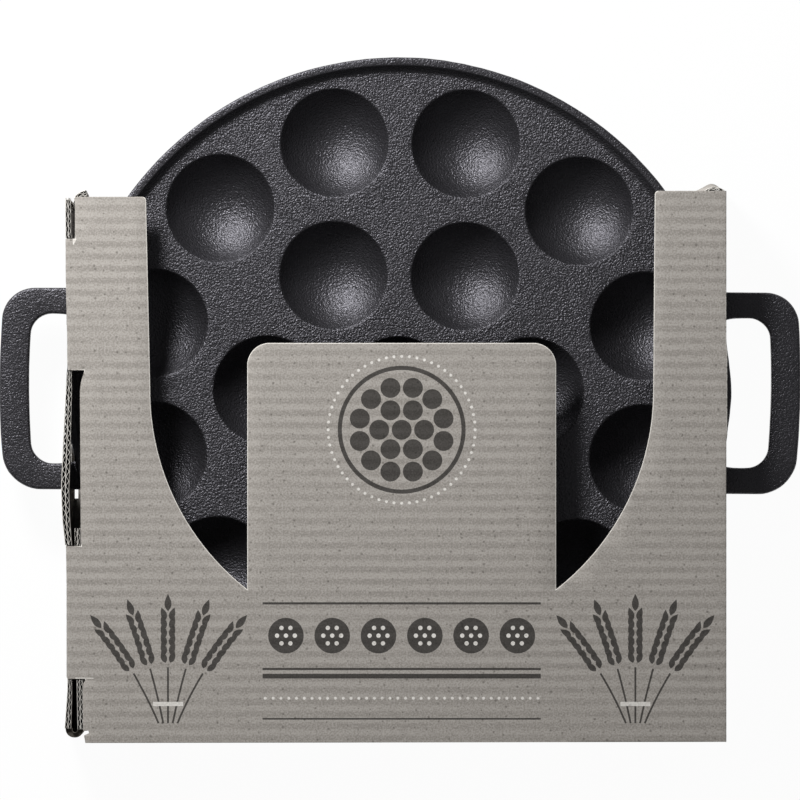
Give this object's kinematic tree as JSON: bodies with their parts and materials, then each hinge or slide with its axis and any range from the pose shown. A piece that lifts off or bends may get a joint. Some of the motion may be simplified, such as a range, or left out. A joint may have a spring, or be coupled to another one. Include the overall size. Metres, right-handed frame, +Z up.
{
  "type": "poffertjes pan",
  "caption": "Round cast-iron pan with rings of round cups for small puffed pancakes and flat loop handles, held in a folded cardboard display sleeve with a U-shaped window.",
  "frame": {"origin": "on the outer face of the sleeve's back panel, under the pan's vertical axis", "axes": "+X through the right handle, +Y to the open end of the sleeve's window, +Z up out of the cups"},
  "size_m": [0.2874, 0.246, 0.037],
  "materials": {
    "seasoned_iron": "sand-cast, pebbled and seasoned black, half matt",
    "kraft_board": "grey kraft liner over double micro-flute, matt, with fibre specks",
    "inner_kraft_board": "grey kraft liner over double micro-flute, matt, with open flute edges"
  },
  "bodies": {
    "pan_and_tray": {"pan_casting": "seasoned_iron", "back_panel": "kraft_board", "left_wall": "kraft_board", "right_wall": "kraft_board", "left_bottom_flap": "inner_kraft_board", "right_bottom_flap": "inner_kraft_board"},
    "front": {"front_panel": "kraft_board"},
    "upper_lock": {"upper_lock_tab": "kraft_board"},
    "lower_lock": {"lower_lock_tab": "kraft_board"},
    "left_top": {"left_top_flap": "inner_kraft_board"},
    "right_top": {"right_top_flap": "inner_kraft_board"}
  },
  "joints": [
    {"name": "front_panel_fold", "type": "hinge", "parent": "pan_and_tray", "child": "front", "pos_m": [0.11825, 0, 0.037], "axis": [0, 1, 0], "range_deg": [0, 180]},
    {"name": "upper_lock_fold", "type": "hinge", "parent": "front", "child": "upper_lock", "pos_m": [-0.11975, 0.03105, 0.037], "axis": [0, 1, 0], "range_deg": [0, 90]},
    {"name": "lower_lock_fold", "type": "hinge", "parent": "front", "child": "lower_lock", "pos_m": [-0.11975, -0.07965, 0.037], "axis": [0, 1, 0], "range_deg": [0, 90]},
    {"name": "left_top_fold", "type": "hinge", "parent": "pan_and_tray", "child": "left_top", "pos_m": [-0.11975, 0.0707, 0.0185], "axis": [0, 0, 1], "range_deg": [0, 90]},
    {"name": "right_top_fold", "type": "hinge", "parent": "pan_and_tray", "child": "right_top", "pos_m": [0.11825, 0.0707, 0.0185], "axis": [0, 0, -1], "range_deg": [0, 90]}
  ]
}
